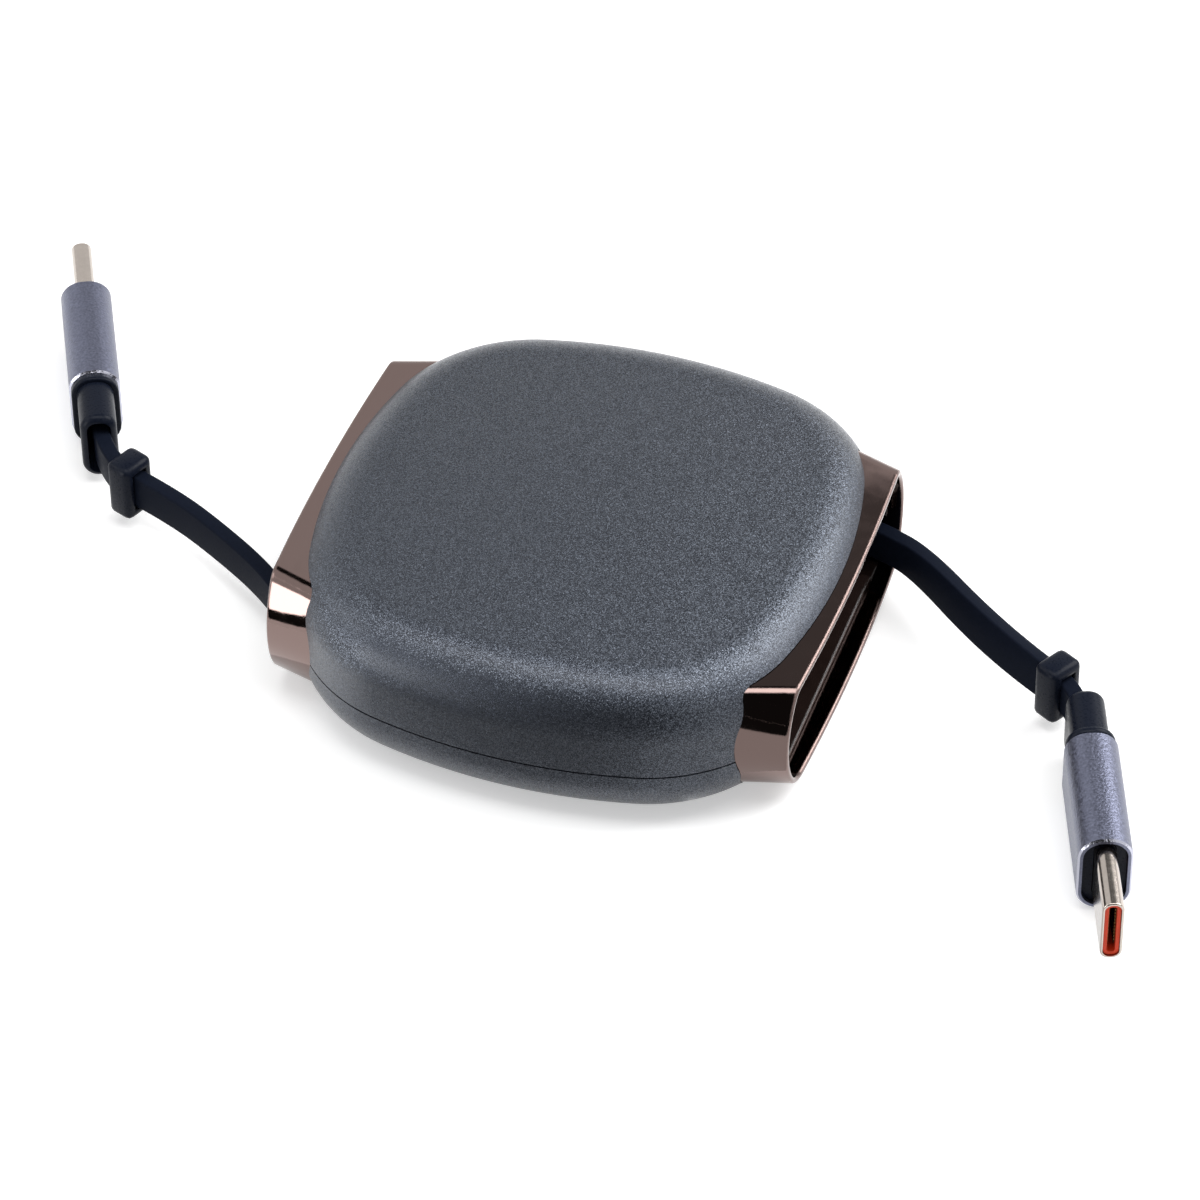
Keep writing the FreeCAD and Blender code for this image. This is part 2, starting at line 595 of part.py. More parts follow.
def cradle(label, turn):
    """Inner pocket of a mouth, where the folded plug parks, with a slot for the cable in its back."""
    body = new_body(label)
    flare_there = S.bezel_flare * S.cradle_set_back / S.bezel_depth
    length = mouth_half_length + flare_there - S.bezel_wall - S.cradle_end_gap
    height = mouth_half_height - S.bezel_wall - S.seat_gap
    bow = S.mouth_end_bow - S.bezel_wall - S.seat_gap
    inset = S.bezel_wall + S.seat_gap
    upper = S.mouth_corner - inset
    lower = S.lower_corner - inset
    block = new_sketch(body, "YZ_Plane", up=mouth_height, along=cradle_back)
    mouth_outline(block, length, height, bow, upper, lower)
    pad(body, block, S.cradle_depth)
    hollow = new_sketch(body, "YZ_Plane", up=mouth_height, along=cradle_front)
    wall = S.cradle_wall
    mouth_outline(hollow, length - wall, height - wall, bow - wall, upper - wall, lower - wall)
    pocket(body, hollow, S.cradle_depth - S.cradle_floor)
    slot_middle = winding_radius - S.slot_shift + S.slot_width / 2
    slot = new_sketch(body, "YZ_Plane", across=slot_middle, up=lead_height, along=cradle_front)
    rectangle(slot, S.slot_width / 2, S.cable_width / 2 + S.slot_margin)
    pocket(body, slot, S.cradle_depth)
    body.Placement = FreeCAD.Placement(Vector(0, 0, 0), FreeCAD.Rotation(Z_AXIS, turn))


# Reel
def revolved(label, points):
    body = new_body(label)
    profile = new_sketch(body, "XZ_Plane")
    half_section(profile, points)
    revolve(body, profile)


def spool():
    inner = drum_radius - S.drum_wall
    revolved("spool", [
        (bore_radius, spool_bottom),
        (flange_radius, spool_bottom),
        (flange_radius, channel_floor),
        (S.hub_radius, channel_floor),
        (S.hub_radius, channel_top),
        (flange_radius, channel_top),
        (flange_radius, drum_bottom),
        (drum_radius, drum_bottom),
        (drum_radius, drum_top),
        (inner, drum_top),
        (inner, drum_bottom),
        (bore_radius, drum_bottom),
    ])


def spool_cap():
    half_track = S.ball_radius + S.ball_travel + S.ball_gap
    groove_floor = cap_top - S.track_depth
    revolved("spool_cap", [
        (bore_radius, drum_top),
        (drum_radius, drum_top),
        (drum_radius, cap_top),
        (S.track_radius + half_track, cap_top),
        (S.track_radius + half_track, groove_floor),
        (S.track_radius - half_track, groove_floor),
        (S.track_radius - half_track, cap_top),
        (bore_radius, cap_top),
    ])


def wound_cable():
    inner = S.hub_radius + S.channel_gap
    low = lead_height - S.cable_width / 2
    high = lead_height + S.cable_width / 2
    revolved("wound_cable", [(inner, low), (winding_outside, low), (winding_outside, high), (inner, high)])


def spindle():
    pin = doc.addObject("Part::Cylinder", "spindle")
    pin.Label = "spindle"
    pin.setExpression("Radius", S.spindle_radius.text)
    bottom = S.wall - S.spindle_sink
    pin.setExpression("Height", (roof_height + S.spindle_sink - bottom).text)
    pin.setExpression("Placement.Base.z", bottom.text)
    SUB_PARTS.append(pin)


def power_spring():
    """Flat spiral of half circles, hooked to the spindle and lying in the drum."""
    thickness = S.spring_thickness.value
    drum_inside = drum_radius - S.drum_wall
    span = (drum_inside - S.spring_end_gap - bore_radius).value - thickness
    pitch = 2 * span / SPRING_HALF_TURNS
    first = bore_radius.value + pitch / 4
    inner, outer = [], []
    for half in range(SPRING_HALF_TURNS):
        upper = half % 2 == 0
        centre = -pitch / 4 if upper else pitch / 4
        radius = first + half * pitch / 2
        start = 0 if upper else math.pi
        inner.append(arc(centre, 0, radius, start, start + math.pi).toShape())
        outer.append(arc(centre, 0, radius + thickness, start, start + math.pi).toShape())
    ends = []
    for inside, outside, place in ((inner[0], outer[0], 0), (inner[-1], outer[-1], -1)):
        ends.append(Part.makeLine(inside.Vertexes[place].Point, outside.Vertexes[place].Point))
    strip = Part.Face(Part.Wire(Part.__sortEdges__(inner + outer + ends)))
    low = drum_bottom.value + S.spring_margin.value
    solid = strip.extrude(Vector(0, 0, drum_height.value - 2 * S.spring_margin.value))
    spring = doc.addObject("Part::Feature", "power_spring")
    spring.Label = "power_spring"
    spring.Shape = solid
    spring.Placement = FreeCAD.Placement(Vector(0, 0, low), FreeCAD.Rotation())
    SUB_PARTS.append(spring)


def ball_guide():
    """Arm under the roof with the radial slot that the lock ball slides in."""
    body = new_body("ball_guide")
    slot_half = S.ball_radius + S.ball_travel + S.ball_gap
    hole_radius = boss_radius + S.seat_gap
    outer_end = S.track_radius + slot_half + S.guide_wall
    inner_end = hole_radius + S.guide_wall
    plan = new_sketch(body, "XY_Plane", across=(outer_end - inner_end) / 2, along=guide_bottom)
    rounded_rectangle(plan, (outer_end + inner_end) / 2, inner_end, S.guide_corner)
    pad(body, plan, roof_height - guide_bottom)
    hole = new_sketch(body, "XY_Plane", along=guide_bottom)
    circle(hole, hole_radius)
    pocket(body, hole, roof_height, forwards=True)
    slot = new_sketch(body, "XY_Plane", across=S.track_radius, along=guide_bottom)
    rectangle(slot, slot_half, S.ball_radius + S.ball_gap)
    pocket(body, slot, ball_height + S.ball_radius + S.ball_gap - guide_bottom, forwards=True)


def lock_ball():
    ball = doc.addObject("Part::Sphere", "lock_ball")
    ball.Label = "lock_ball"
    ball.setExpression("Radius", S.ball_radius.text)
    ball.setExpression("Placement.Base.x", S.track_radius.text)
    ball.setExpression("Placement.Base.z", ball_height.text)
    SUB_PARTS.append(ball)


# Cables
class Route:
    """A lead's line in plan: straight runs joined by tangent arcs, split at its stop bead."""

    def __init__(self, points, stop_run, stop_at):
        height = lead_height.value
        self.points = [Vector(x, y, height) for x, y in points]
        self.stop_run = stop_run
        start, end = self.points[stop_run], self.points[stop_run + 1]
        self.stop_direction = (end - start).normalize()
        self.stop = start + self.stop_direction * stop_at
        self.end = self.points[-1]
        self.plug_direction = (self.end - self.points[-2]).normalize()
        self.radii = []
        self.before_stop, self.after_stop = self.edges()

    def edges(self):
        chains = [[], []]
        here = self.points[0]
        for index in range(1, len(self.points) - 1):
            before, corner, after = self.points[index - 1:index + 2]
            shorter = min((corner - before).Length, (after - corner).Length)
            arrive = (corner - before).normalize()
            leave = (after - corner).normalize()
            turn = arrive.getAngle(leave)
            setback = ARC_SHARE * shorter
            radius = setback / math.tan(turn / 2)
            self.radii.append(radius)
            start = corner - arrive * setback
            finish = corner + leave * setback
            middle = corner + (leave - arrive).normalize() * (radius / math.cos(turn / 2) - radius)
            chain = chains[0] if index <= self.stop_run else chains[1]
            if index == self.stop_run + 1:
                chains[0].append(Part.makeLine(here, self.stop))
                here = self.stop
            chain.append(Part.makeLine(here, start))
            chain.append(Part.Arc(start, middle, finish).toShape())
            here = finish
        chains[1].append(Part.makeLine(here, self.end))
        return chains


def cable_section(place, direction):
    """Rounded flat section, standing across the route at one of its ends."""
    half_u = S.cable_thickness.value / 2
    half_v = S.cable_width.value / 2
    r = S.cable_edge_round.value
    quarter = math.pi / 2
    shape = [
        line((half_u, r - half_v), (half_u, half_v - r)),
        line((half_u - r, half_v), (r - half_u, half_v)),
        line((-half_u, half_v - r), (-half_u, r - half_v)),
        line((r - half_u, -half_v), (half_u - r, -half_v)),
    ]
    corners = [(1, 1, 0), (-1, 1, quarter), (-1, -1, 2 * quarter), (1, -1, 3 * quarter)]
    for u, v, start in corners:
        shape.append(arc(u * (half_u - r), v * (half_v - r), r, start, start + quarter))
    wire = Part.Wire(Part.__sortEdges__([edge.toShape() for edge in shape]))
    across = Z_AXIS.cross(direction)
    turned = FreeCAD.Rotation(across, Z_AXIS, direction, "ZXY")
    wire.Placement = FreeCAD.Placement(place, turned)
    return wire


def cable_piece(label, edges):
    path = Part.Wire(edges)
    start = edges[0].Vertexes[0].Point
    direction = edges[0].tangentAt(edges[0].FirstParameter)
    section = cable_section(start, direction)
    solid = path.makePipeShell([section], True, False)
    flat = Part.Face(cable_section(Vector(0, 0, 0), Vector(1, 0, 0))).Area
    piece = doc.addObject("Part::Feature", label)
    piece.Label = label
    piece.Shape = solid
    SUB_PARTS.append(piece)
    print("%s: length %.2f mm, volume %.2f, section times length %.2f" % (
        label, path.Length, solid.Volume, flat * path.Length))


def stop_bead(label, route):
    """Moulded collar round the cable, which the mouth's slot stops."""
    body = new_body(label)
    block = new_sketch(body, "YZ_Plane", along=S.stop_length / -2)
    rounded_rectangle(block, S.stop_thickness / 2, S.stop_height / 2, S.stop_round)
    solid = pad(body, block, S.stop_length)
    half = S.stop_length.value / 2
    front = edges_in(body.Shape, "X", half - NEAR, half + NEAR)
    back = edges_in(body.Shape, "X", -half - NEAR, NEAR - half)
    round_edges(body, solid, front + back, S.stop_round / 2)
    hole = new_sketch(body, "YZ_Plane", along=S.stop_length / 2)
    corner = S.cable_edge_round + S.stop_gap
    rounded_rectangle(hole, S.cable_thickness / 2 + S.stop_gap, S.cable_width / 2 + S.stop_gap, corner)
    pocket(body, hole, S.stop_length)
    body.Placement = along_route(route.stop, route.stop_direction)


def along_route(place, direction):
    yaw = math.degrees(math.atan2(direction.y, direction.x))
    return FreeCAD.Placement(place, FreeCAD.Rotation(Z_AXIS, yaw))


# Plugs: each piece is drawn on the plug's own axis, +X towards the tip, from the sleeve's front rim
def sleeve_outline(sketch, inset):
    half_u = S.sleeve_thickness / 2 - inset
    half_v = S.sleeve_height / 2 - inset
    rounded_rectangle(sketch, half_u, half_v, S.sleeve_corner - inset)


def shell_outline(sketch, inset):
    half_u = S.shell_thickness / 2 - inset
    half_v = S.shell_height / 2 - inset
    rounded_rectangle(sketch, half_u, half_v, S.shell_corner - inset)


def plug_sleeve(label, place):
    body = new_body(label)
    block = new_sketch(body, "YZ_Plane")
    sleeve_outline(block, FULL_SIZE)
    solid = pad(body, block, S.sleeve_length, backwards=True)
    rear = -S.sleeve_length.value
    rims = edges_in(body.Shape, "X", -NEAR, NEAR) + edges_in(body.Shape, "X", rear - NEAR, rear + NEAR)
    round_edges(body, solid, rims, S.sleeve_chamfer, kind="Chamfer")
    hollow = new_sketch(body, "YZ_Plane")
    sleeve_outline(hollow, S.sleeve_wall)
    pocket(body, hollow, S.sleeve_length)
    body.Placement = place


def plug_core(label, place):
    """Moulded block inside the sleeve, with seats for the shell and the board."""
    body = new_body(label)
    block = new_sketch(body, "YZ_Plane", along=S.core_recess * -1)
    sleeve_outline(block, S.sleeve_wall + S.core_gap)
    pad(body, block, S.core_length, backwards=True)
    seat = new_sketch(body, "YZ_Plane", along=S.core_recess * -1)
    shell_outline(seat, S.core_gap * -1)
    pocket(body, seat, S.shell_root + S.core_gap - S.core_recess)
    room = new_sketch(body, "YZ_Plane", along=S.core_recess * -1)
    rectangle(room, S.board_thickness / 2 + S.board_gap, S.board_height / 2 + S.board_gap)
    pocket(body, room, S.core_length)
    body.Placement = place


def plug_shell(label, place):
    """Drawn steel tube of the USB-C plug."""
    body = new_body(label)
    block = new_sketch(body, "YZ_Plane", along=S.shell_reach)
    shell_outline(block, FULL_SIZE)
    solid = pad(body, block, S.shell_reach + S.shell_root, backwards=True)
    tip = S.shell_reach.value
    round_edges(body, solid, edges_in(body.Shape, "X", tip - NEAR, tip + NEAR), S.shell_nose)
    hollow = new_sketch(body, "YZ_Plane", along=S.shell_reach)
    shell_outline(hollow, S.shell_wall)
    pocket(body, hollow, S.shell_reach + S.shell_root)
    body.Placement = place


def plug_liner(label, place):
    """Coloured insulator that lines the shell round the contacts' cavity."""
    body = new_body(label)
    inset = S.shell_wall + S.core_gap
    block = new_sketch(body, "YZ_Plane", along=S.shell_reach - S.liner_inset)
    shell_outline(block, inset)
    length = S.shell_reach - S.liner_inset + S.shell_root
    pad(body, block, length, backwards=True)
    cavity = new_sketch(body, "YZ_Plane", along=S.shell_reach - S.liner_inset)
    shell_outline(cavity, inset + S.liner_wall)
    pocket(body, cavity, length - S.liner_floor)
    body.Placement = place


def plug_contacts(label, place):
    """Two rows of gold contacts on the cavity's walls."""
    wall_at = S.shell_thickness / 2 - S.shell_wall - S.core_gap - S.liner_wall - S.contact_thickness
    tip = S.shell_reach.value - S.contact_set_back.value
    strips = []
    for side in (1, -1):
        inner = wall_at.value if side > 0 else -wall_at.value - S.contact_thickness.value
        for index in range(CONTACTS_PER_ROW):
            height = (index - (CONTACTS_PER_ROW - 1) / 2) * S.contact_pitch.value - S.contact_width.value / 2
            corner = Vector(tip - S.contact_length.value, inner, height)
            strips.append(Part.makeBox(
                S.contact_length.value, S.contact_thickness.value, S.contact_width.value, corner))
    group = doc.addObject("Part::Feature", label)
    group.Label = label
    group.Shape = Part.Compound(strips)
    group.Placement = place
    SUB_PARTS.append(group)


def plug_board(label, place):
    body = new_body(label)
    section = new_sketch(body, "YZ_Plane", along=(S.shell_root + S.board_gap) * -1)
    rectangle(section, S.board_thickness / 2, S.board_height / 2)
    pad(body, section, S.board_length, backwards=True)
    body.Placement = place


def plug_strain_relief(label, place):
    """Tenon in the sleeve, collar behind it, and a neck with a funnel that the cable bends out of."""
    body = new_body(label)
    tenon = new_sketch(body, "YZ_Plane", along=(S.sleeve_length - S.tenon_length) * -1)
    sleeve_outline(tenon, S.sleeve_wall + S.core_gap)
    pad(body, tenon, S.tenon_length, backwards=True)
    collar = new_sketch(body, "YZ_Plane", along=S.sleeve_length * -1)
    sleeve_outline(collar, S.collar_step)
    pad(body, collar, S.collar_length, backwards=True)
    neck = new_sketch(body, "YZ_Plane", along=collar_rear * -1)
    rounded_rectangle(neck, S.neck_thickness / 2, S.neck_height / 2, S.neck_corner)
    shaft = pad(body, neck, S.neck_length, backwards=True)
    end = -neck_rear.value
    round_edges(body, shaft, edges_in(body.Shape, "X", end - NEAR, end + NEAR), S.neck_end_round)
    bore = new_sketch(body, "YZ_Plane", along=neck_rear * -1)
    gap = S.neck_gap
    bore_corner = S.cable_edge_round + gap
    rounded_rectangle(bore, S.cable_thickness / 2 + gap, S.cable_width / 2 + gap, bore_corner)
    pocket(body, bore, neck_rear - S.sleeve_length + S.tenon_length, forwards=True)
    wide = new_sketch(body, "YZ_Plane", along=neck_rear * -1)
    narrow = new_sketch(body, "YZ_Plane", along=(neck_rear - S.neck_mouth_depth) * -1)
    wall = S.neck_mouth_wall
    rounded_rectangle(wide, S.neck_thickness / 2 - wall, S.neck_height / 2 - wall, S.neck_corner - wall)
    rounded_rectangle(narrow, S.cable_thickness / 2 + gap, S.cable_width / 2 + gap, bore_corner)
    loft(body, "SubtractiveLoft", wide, narrow)
    body.Placement = place


PLUG_PIECES = [
    ("sleeve", plug_sleeve),
    ("core", plug_core),
    ("shell", plug_shell),
    ("liner", plug_liner),
    ("contacts", plug_contacts),
    ("board", plug_board),
    ("strain_relief", plug_strain_relief),
]


def lead(side, points, stop_run, stop_at):
    """One lead: its cable, stop bead, the tail behind the stop, and the plug."""
    route = Route(points, stop_run, stop_at)
    cable_piece(side + "_cable", route.before_stop)
    cable_piece(side + "_tail", route.after_stop)
    stop_bead(side + "_stop", route)
    front = route.end + route.plug_direction * (S.cable_end_inset.value + S.sleeve_length.value)
    place = along_route(front, route.plug_direction)
    for name, make in PLUG_PIECES:
        make("%s_%s" % (side, name), place)
    print(side, "bend radii", ["%.1f" % radius for radius in route.radii])
    print(side, "stop", route.stop, "fold pivot", route.points[-2], "plug front", front)


def check_document():
    doc.recompute()
    for item in doc.Objects:
        if "Invalid" in item.State or "Error" in item.State:
            raise RuntimeError("%s did not compute: %s" % (item.Name, item.State))
    for item in SUB_PARTS:
        if item.Shape.isNull() or not item.Shape.isValid() or not item.Shape.Solids:
            raise RuntimeError("%s has no valid solid" % item.Label)


def write_parts():
    os.makedirs("parts", exist_ok=True)
    for item in SUB_PARTS:
        item.Shape.exportStep(os.path.join("parts", item.Label + ".step"))


top_cover()
bottom_cover()
bezel("right_bezel", 0)
bezel("left_bezel", 180)
cradle("right_cradle", 0)
cradle("left_cradle", 180)
spool()
spool_cap()
wound_cable()
spindle()
power_spring()
ball_guide()
lock_ball()
lead("right", RIGHT_ROUTE, 3, RIGHT_STOP_AT)
lead("left", LEFT_ROUTE, 4, LEFT_STOP_AT)
check_document()
write_parts()
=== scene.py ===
import math

import bmesh
import bpy
from mathutils import Euler, Matrix, Vector


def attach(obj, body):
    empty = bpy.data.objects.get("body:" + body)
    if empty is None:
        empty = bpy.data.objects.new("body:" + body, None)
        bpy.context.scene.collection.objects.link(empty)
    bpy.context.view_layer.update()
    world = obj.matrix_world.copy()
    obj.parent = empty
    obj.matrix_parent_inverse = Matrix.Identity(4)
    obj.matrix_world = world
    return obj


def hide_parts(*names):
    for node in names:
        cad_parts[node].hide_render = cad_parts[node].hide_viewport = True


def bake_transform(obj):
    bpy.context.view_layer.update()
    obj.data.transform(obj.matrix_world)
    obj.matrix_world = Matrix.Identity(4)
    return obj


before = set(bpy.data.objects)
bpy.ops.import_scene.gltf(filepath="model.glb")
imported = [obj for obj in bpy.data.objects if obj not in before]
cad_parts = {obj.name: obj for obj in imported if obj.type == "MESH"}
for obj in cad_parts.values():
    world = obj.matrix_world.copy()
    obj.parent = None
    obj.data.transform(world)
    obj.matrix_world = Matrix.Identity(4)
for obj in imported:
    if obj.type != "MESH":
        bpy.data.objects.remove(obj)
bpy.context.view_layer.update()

# Retractable two-way charging cable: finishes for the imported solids, the flat cables, stop beads and collars
# as new pieces, and a white studio. Metres, in the part's own frame.

bl_info = {
    "name": "Retractable charging cable",
    "version": (1, 0, 0),
    "blender": (4, 5, 0),
    "location": "View3D > Sidebar > Cable reel",
    "description": "Dresses a retractable cable reel with two folding plugs",
    "category": "Object",
}

MM = 0.001
SIDES = ("right", "left")
WHITE = (1.0, 1.0, 1.0, 1.0)

# Routes of the leads in plan, in metres, as the part's source gives them, with points moved
ROUTES = {
    "right": [(0.0086, 0.0178), (0.0160, 0.0186), (0.0230, 0.0199), (0.0295, 0.0187), (0.0345, 0.0164),
              (0.0432, 0.0090), (0.0510, 0.00365), (0.0578, 0.0), (0.06053, -0.0072)],
    "left": [(-0.0086, -0.0172), (-0.0220, -0.0172), (-0.0285, -0.0172), (-0.0345, -0.0103),
             (-0.0455, -0.0035), (-0.0520, -0.0005), (-0.06075, 0.0026), (-0.0647, 0.01072)],
}
LEAD_HEIGHT = 0.0052
# Points that are read from a lead's spline for each of its spans
SPLINE_STEPS = 16
# How far each flat cable leans over between its mouth and its bead, and the share of a half wave that the
# lean goes through on that way
LEANS = {"right": math.radians(-17), "left": math.radians(2)}
LEAN_SHARE = 0.75
# Middles of the stop beads in plan, and the points where the cables leave the mouths
BEADS = {"right": (0.05439, 0.00183), "left": (-0.05685, 0.00122)}
MOUTHS = {"right": (0.0313, 0.0180, 0.0052), "left": (-0.0313, -0.0150, 0.0052)}
# Middle of each sleeve's front end, and the way the plug points
PLUG_FRONTS = {"right": ((0.067302, -0.025059, 0.0052), (0.35454, -0.93504, 0.0)),
               "left": ((-0.073055, 0.027896, 0.0052), (-0.43744, 0.89925, 0.0))}
SLEEVE_LENGTH = 0.0169

# Rounding that the plated mouths and their cradles show along their moulded edges
MOULDED_EDGE = 0.4 * MM
EDGE_SAMPLES = 6
# A chamfer's slope to the plug's axis, as a cosine, and how far a face may be from it and still count as one
CHAMFER_SLOPE = 0.7
CHAMFER_SPREAD = 0.25

# Camera that was fitted to the picture: angles in degrees, sensor in millimetres
CAMERA_PLACE = (0.1672, -0.4728, 0.4651)
CAMERA_ELEVATION = 42.59
CAMERA_AZIMUTH = 19.34
CAMERA_ROLL = -0.72
SENSOR_WIDTH = 36
NEAR_CLIP = 0.01
FLOOR_SIZE = 3.0
FLOOR_HEIGHT = -0.0002
# The floor is lifted by this much near the object, and to full white between these distances from it
NEAR_LIFT = 0.42
LIFT_START = 0.15
LIFT_END = 0.45


def linear(text):
    """Linear RGBA of an sRGB hex colour."""
    values = []
    for place in (0, 2, 4):
        share = int(text[place:place + 2], 16) / 255
        values.append(share / 12.92 if share <= 0.04045 else ((share + 0.055) / 1.055) ** 2.4)
    return (*values, 1.0)


def colour(label, note, text):
    return bpy.props.FloatVectorProperty(
        name=label, description=note, subtype="COLOR", size=4, min=0.0, max=1.0, default=linear(text))


def length(label, note, value):
    return bpy.props.FloatProperty(name=label, description=note, default=value, min=0.0, unit="LENGTH")


class ReelColours(bpy.types.PropertyGroup):
    paint: colour("Paint", "Binder of the metallic paint on both covers", "252932")
    flake: colour("Flake", "Brightest flakes in the paint", "646A74")
    plating: colour("Plating", "Dark plating of the mouths", "776662")
    jacket: colour("Jacket", "Jacket of the flat cables", "10141E")
    moulding: colour("Moulding", "Black mouldings of beads and necks", "0F131D")
    cradle: colour("Cradle", "Gloss mouldings inside the mouths", "1C1412")
    sleeve: colour("Sleeve", "Anodised sleeves of the plugs", "6A6D7E")
    chamfer: colour("Chamfer", "Cut edges of the sleeves", "B8B9C6")
    nickel: colour("Nickel", "Shells of the plugs", "B9B0A8")
    liner: colour("Liner", "Insulators in the plugs", "D8401C")
    # Contact gold darkened as painted shade, for contacts that sit deep inside the plugs
    shaded_gold: colour("Gold", "Contacts", "6A5230")
    steel: colour("Steel", "Spindle, ball and spring", "B8B8BA")
    board: colour("Board", "Circuit boards", "1E4A32")


class CableSizes(bpy.types.PropertyGroup):
    width: length("Width", "Flat cable, standing on edge", 4.3 * MM)
    thickness: length("Thickness", "Flat cable", 1.9 * MM)
    edge: length("Edge", "Rounded edges of the flat cable", 0.26 * MM)


class CollarSizes(bpy.types.PropertyGroup):
    reach: length("Reach", "Collar behind a plug's sleeve, along the plug", 1.1 * MM)
    thickness: length("Thickness", "Collar across the plug", 5.6 * MM)
    height: length("Height", "Collar, standing", 10.0 * MM)
    corner: length("Corner", "Rounded corners of the collar", 2.5 * MM)
    rounding: length("Rounding", "Rounded edge of the collar's rear end", 0.25 * MM)


class BeadSizes(bpy.types.PropertyGroup):
    span: length("Span", "Stop bead along the cable", 3.4 * MM)
    thickness: length("Thickness", "Stop bead across the cable", 4.4 * MM)
    height: length("Height", "Stop bead, standing", 7.5 * MM)
    corner: length("Corner", "Rounded edges of the bead", 0.8 * MM)
    rim: length("Rim", "Wall round the hollow in each end of the bead", 0.35 * MM)
    hollow: length("Hollow", "Depth of the hollow in each end of the bead", 0.9 * MM)
    lip: length("Lip", "Width of the slope at the hollow's mouth", 0.12 * MM)
    lip_depth: length("Lip depth", "Depth of the slope at the hollow's mouth", 0.2 * MM)
    draft: length("Draft", "How far the hollow narrows below that slope", 0.05 * MM)


class StudioSettings(bpy.types.PropertyGroup):
    key: bpy.props.FloatProperty(name="Key", description="Softbox overhead", default=1.5, unit="POWER")
    side: bpy.props.FloatProperty(name="Side", description="Softbox on the right", default=2.8, unit="POWER")
    left: bpy.props.FloatProperty(name="Left", description="Softbox on the left", default=0.35, unit="POWER")
    fill: bpy.props.FloatProperty(name="Fill", description="Light of the room", default=0.45, min=0.0)
    lens: bpy.props.FloatProperty(name="Lens", description="Focal length", default=180.0, unit="CAMERA")


# Nodes and materials
def node(tree, kind, inputs=(), **settings):
    """Adds a node with its settings, and fills its inputs with values or with links from other nodes."""
    made = tree.nodes.new(kind)
    for name, value in settings.items():
        setattr(made, name, value)
    for name, value in dict(inputs).items():
        if isinstance(value, bpy.types.NodeSocket):
            tree.links.new(value, made.inputs[name])
        else:
            made.inputs[name].default_value = value
    return made


def new_material(name, inputs):
    """A material of one principled shader, with its constants set on the shader's own sockets."""
    material = bpy.data.materials.new(name)
    material.use_nodes = True
    tree = material.node_tree
    tree.nodes.clear()
    shader = node(tree, "ShaderNodeBsdfPrincipled", inputs)
    node(tree, "ShaderNodeOutputMaterial", {"Surface": shader.outputs["BSDF"]})
    place = node(tree, "ShaderNodeTexCoord").outputs["Object"]
    return material, tree, shader, place


def shaded(rgba, factor):
    """A colour made darker or lighter by a factor."""
    return (rgba[0] * factor, rgba[1] * factor, rgba[2] * factor, 1.0)


def speckle(tree, shader, place, grain, dark, light, rough, depth=None):
    """Fine grain of one size in colour and in roughness, with a low bump of the same grain if asked."""
    noise = node(tree, "ShaderNodeTexNoise", {"Vector": place, "Scale": 1 / grain, "Detail": 2.0})
    shade = node(tree, "ShaderNodeMix", {"Factor": noise.outputs["Fac"], "A": dark, "B": light},
                 data_type="RGBA")
    tree.links.new(shade.outputs["Result"], shader.inputs["Base Color"])
    gloss = node(tree, "ShaderNodeMapRange", {"Value": noise.outputs["Fac"], "From Min": 0.3, "From Max": 0.7,
                                              "To Min": rough[0], "To Max": rough[1]})
    tree.links.new(gloss.outputs["Result"], shader.inputs["Roughness"])
    if depth is not None:
        bump = node(tree, "ShaderNodeBump", {"Height": noise.outputs["Fac"], "Distance": depth,
                                             "Strength": 1.0})
        tree.links.new(bump.outputs["Normal"], shader.inputs["Normal"])
    return shade.outputs["Result"], gloss.outputs["Result"]


def metallic_paint(colours):
    # Sprayed metallic lacquer on ABS: flakes lie at slightly different tilts, so some flash and some go dark,
    # and the clear coat over them gives broad, soft lights on the rolled edges
    paint, tree, shader, place = new_material("metallic_lacquer", {
        "Metallic": 0.8, "Roughness": 0.35, "Coat Weight": 0.3, "Coat Roughness": 0.32})
    # Flakes are 0.03 mm across; drawn at 0.075 mm so that they show as the picture's grain does
    flake_size = 0.075 * MM
    flake_tilt = 0.55
    # Share of the flakes that keep the binder's colour
    dull_share = 0.38
    flakes = node(tree, "ShaderNodeTexVoronoi", {"Vector": place, "Scale": 1 / flake_size})
    level = node(tree, "ShaderNodeSeparateColor", {"Color": flakes.outputs["Color"]})
    ramp = node(tree, "ShaderNodeMapRange", {"Value": level.outputs["Red"], "From Min": dull_share,
                                             "From Max": 1.0, "To Min": 0.0, "To Max": 1.0})
    shade = node(tree, "ShaderNodeMix", {"Factor": ramp.outputs["Result"], "A": colours.paint,
                                         "B": colours.flake}, data_type="RGBA")
    tree.links.new(shade.outputs["Result"], shader.inputs["Base Color"])
    centred = node(tree, "ShaderNodeVectorMath", {0: flakes.outputs["Color"], 1: (0.5, 0.5, 0.5)},
                   operation="SUBTRACT")
    tilt = node(tree, "ShaderNodeVectorMath", {0: centred.outputs["Vector"], "Scale": flake_tilt},
                operation="SCALE")
    facing = node(tree, "ShaderNodeNewGeometry")
    tilted = node(tree, "ShaderNodeVectorMath", {0: facing.outputs["Normal"], 1: tilt.outputs["Vector"]},
                  operation="ADD")
    unit = node(tree, "ShaderNodeVectorMath", {0: tilted.outputs["Vector"]}, operation="NORMALIZE")
    tree.links.new(unit.outputs["Vector"], shader.inputs["Normal"])
    return paint


